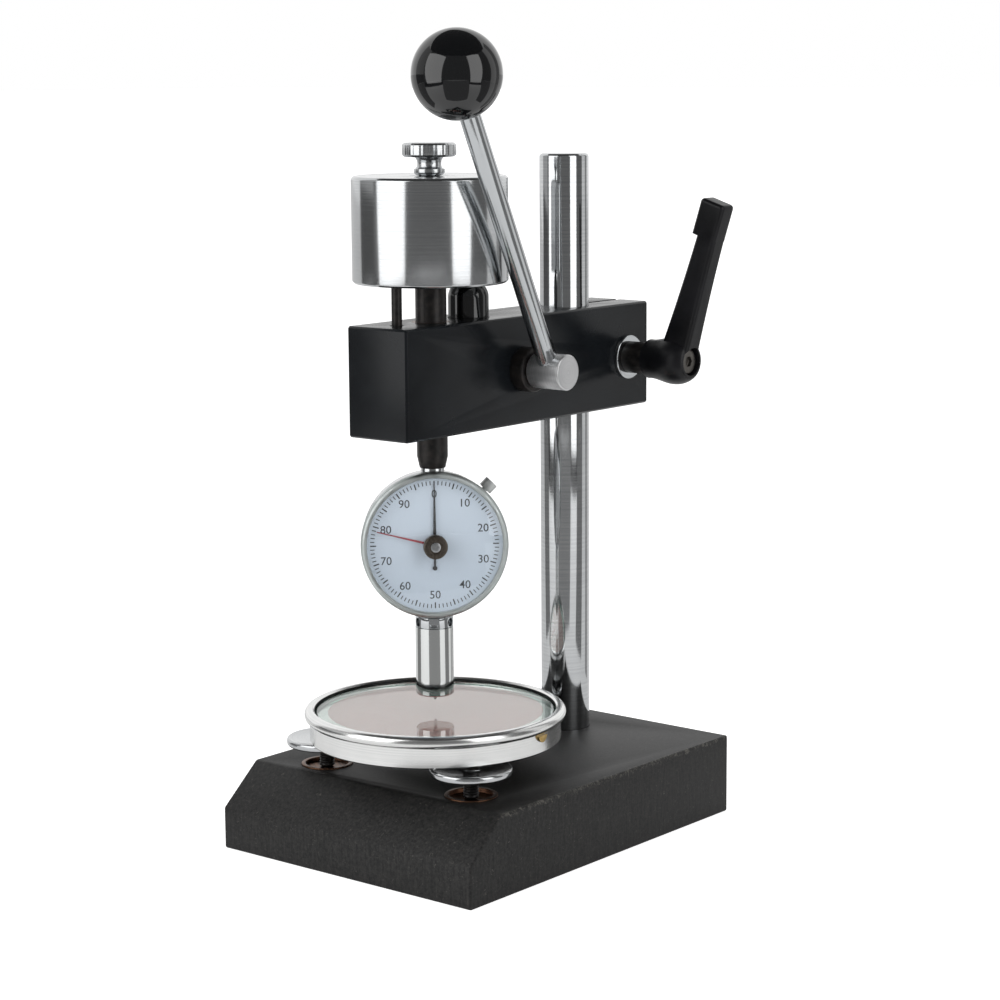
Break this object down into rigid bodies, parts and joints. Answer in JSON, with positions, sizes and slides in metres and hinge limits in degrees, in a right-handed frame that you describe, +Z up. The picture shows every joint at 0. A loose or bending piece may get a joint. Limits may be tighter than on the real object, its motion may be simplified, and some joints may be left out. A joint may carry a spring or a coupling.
{
  "type": "hardness tester",
  "caption": "Bench hardness tester: round-dial durometer under a weighted spindle on an arm clamped to a column, lowered by a ball lever onto a levelling glass platform.",
  "frame": {"origin": "centre of the base plate's underside", "axes": "+Z up; the spindle stands towards -Y, the column towards +Y, and the lever and clamp handle are on the +X side"},
  "size_m": [0.1287, 0.1756, 0.3188],
  "materials": {
    "charcoal_enamel": "fine granular stove enamel",
    "black_enamel": "satin",
    "polished_steel": "polished",
    "turned_steel": "turned",
    "black_oxide_steel": "satin black oxide",
    "screw_steel": "bright",
    "spring_steel": "bright",
    "satin_aluminium": "satin",
    "case_enamel": "satin",
    "bronze": "turned",
    "brass": "bright",
    "glass": "polished",
    "crystal_glass": "polished",
    "black_phenolic": "polished",
    "black_nylon": "fine matte",
    "dial_enamel": "satin",
    "black_enamel_hand": "satin",
    "red_enamel": "satin",
    "brown_plastic": "satin"
  },
  "bodies": {
    "base": {"base_plate": "charcoal_enamel", "levelling_cups": "bronze", "column_washer": "screw_steel"},
    "level_front_right": {"levelling_screw_front_right": "screw_steel", "levelling_wheel_front_right": "satin_aluminium"},
    "level_front_left": {"levelling_screw_front_left": "screw_steel", "levelling_wheel_front_left": "satin_aluminium"},
    "level_rear": {"levelling_screw_rear": "screw_steel", "levelling_wheel_rear": "satin_aluminium"},
    "platform": {"platform_ring": "satin_aluminium", "glass_plate": "glass", "glass_screws": "brass"},
    "column": {"column": "polished_steel", "column_screw": "screw_steel"},
    "arm": {"arm_block": "black_enamel", "spindle_bushes": "bronze", "lever_bush": "black_oxide_steel", "clamp_washer": "polished_steel", "damper_plug": "brass", "damper_spring": "spring_steel"},
    "clamp_stud": {"clamp_stud": "turned_steel", "clamp_cap_screw": "screw_steel"},
    "clamp_handle": {"clamp_handle": "black_nylon"},
    "lever": {"lever_shaft": "turned_steel", "lever_hub": "polished_steel", "lever_rod": "polished_steel", "lever_ball": "black_phenolic", "lever_crank": "black_oxide_steel", "crank_pin": "screw_steel"},
    "damper": {"damper_cap": "black_phenolic", "damper_piston": "screw_steel"},
    "spindle": {"spindle": "black_oxide_steel", "weight": "polished_steel", "guide_pin": "black_oxide_steel", "mounting_stud": "screw_steel", "durometer_case": "case_enamel", "case_cover": "satin_aluminium", "cover_screws": "screw_steel", "movement_plate": "brass", "movement_screws": "screw_steel", "lock_collar": "turned_steel", "foot_sleeve": "turned_steel", "indenter_spring": "spring_steel"},
    "weight_nut": {"weight_nut": "turned_steel"},
    "bezel": {"bezel": "turned_steel", "crystal": "crystal_glass", "dial_plate": "dial_enamel"},
    "drag_hand": {"drag_hand": "red_enamel", "drag_knob": "brown_plastic"},
    "bezel_clamp": {"bezel_clamp": "turned_steel"},
    "hand": {"hand": "black_enamel_hand"},
    "indenter": {"indenter": "screw_steel"}
  },
  "joints": [
    {"name": "level_front_right_turn", "type": "hinge", "parent": "base", "child": "level_front_right", "pos_m": [0.03735, -0.05069, 0.04], "axis": [0, 0, 1], "range_deg": [-721, 181]},
    {"name": "level_front_left_turn", "type": "hinge", "parent": "base", "child": "level_front_left", "pos_m": [-0.03735, -0.05069, 0.04], "axis": [0, 0, 1], "range_deg": [-721, 181]},
    {"name": "level_rear_turn", "type": "hinge", "parent": "base", "child": "level_rear", "pos_m": [0, 0.016, 0.04], "axis": [0, 0, 1], "range_deg": [-721, 181]},
    {"name": "platform_lift", "type": "slide", "parent": "base", "child": "platform", "axis": [0, 0, -1], "range_m": [-0.002, 0.0005]},
    {"name": "arm_swivel", "type": "hinge", "parent": "base", "child": "column", "pos_m": [0, 0.0555, 0.2], "axis": [0, 0, 1], "continuous": true},
    {"name": "arm_height", "type": "slide", "parent": "column", "child": "arm", "axis": [0, 0, 1], "range_m": [-0.002, 0.055]},
    {"name": "clamp_turn", "type": "hinge", "parent": "arm", "child": "clamp_stud", "pos_m": [0.02, 0.0785, 0.1863], "axis": [1, 0, 0], "range_deg": [-10, 120]},
    {"name": "clamp_handle_pull", "type": "slide", "parent": "clamp_stud", "child": "clamp_handle", "axis": [1, 0, 0], "range_m": [0, 0.0024], "stiffness_N_per_m": 1500, "springref_m": -0.002},
    {"name": "spindle_travel", "type": "slide", "parent": "arm", "child": "spindle", "axis": [0, 0, -1], "range_m": [-0.005, 0.0039]},
    {"name": "lever_swing", "type": "hinge", "parent": "arm", "child": "lever", "pos_m": [0.0285, 0.0102, 0.1876], "axis": [1, 0, 0], "range_deg": [-7.6, 5.95]},
    {"name": "damper_travel", "type": "slide", "parent": "arm", "child": "damper", "axis": [0, 0, -1], "range_m": [-0.00501, 0.00391], "deforming": ["damper_spring"]},
    {"name": "weight_nut_turn", "type": "hinge", "parent": "spindle", "child": "weight_nut", "pos_m": [0, -0.0278, 0.27], "axis": [0, 0, 1], "continuous": true},
    {"name": "bezel_turn", "type": "hinge", "parent": "spindle", "child": "bezel", "pos_m": [0, -0.0278, 0.1224], "axis": [0.7071, -0.7071, 0], "range_deg": [-20, 20]},
    {"name": "drag_hand_turn", "type": "hinge", "parent": "bezel", "child": "drag_hand", "pos_m": [0, -0.0278, 0.1224], "axis": [0.7071, -0.7071, 0], "continuous": true},
    {"name": "bezel_clamp_turn", "type": "hinge", "parent": "spindle", "child": "bezel_clamp", "pos_m": [-0.00071, -0.02709, 0.1224], "axis": [0.5, 0.5, 0.7071], "continuous": true},
    {"name": "indenter_travel", "type": "slide", "parent": "spindle", "child": "indenter", "axis": [0, 0, 1], "range_m": [0, 0.0025], "stiffness_N_per_m": 3000, "springref_m": -0.00018, "deforming": ["indenter_spring"]},
    {"name": "hand_turn", "type": "hinge", "parent": "spindle", "child": "hand", "pos_m": [0, -0.0278, 0.1224], "axis": [0.7071, -0.7071, 0], "range_deg": [-361, 1]}
  ],
  "couplings": [
    {"joint": "level_front_right_turn", "follows": "platform_lift", "rad_per_m": 6283.2},
    {"joint": "level_front_left_turn", "follows": "platform_lift", "rad_per_m": 6283.2},
    {"joint": "level_rear_turn", "follows": "platform_lift", "rad_per_m": 6283.2},
    {"joint": "lever_swing", "follows": "spindle_travel", "rad_per_m": 26.316},
    {"joint": "damper_travel", "follows": "spindle_travel", "ratio": 1},
    {"joint": "hand_turn", "follows": "indenter_travel", "rad_per_m": -2513.3}
  ]
}
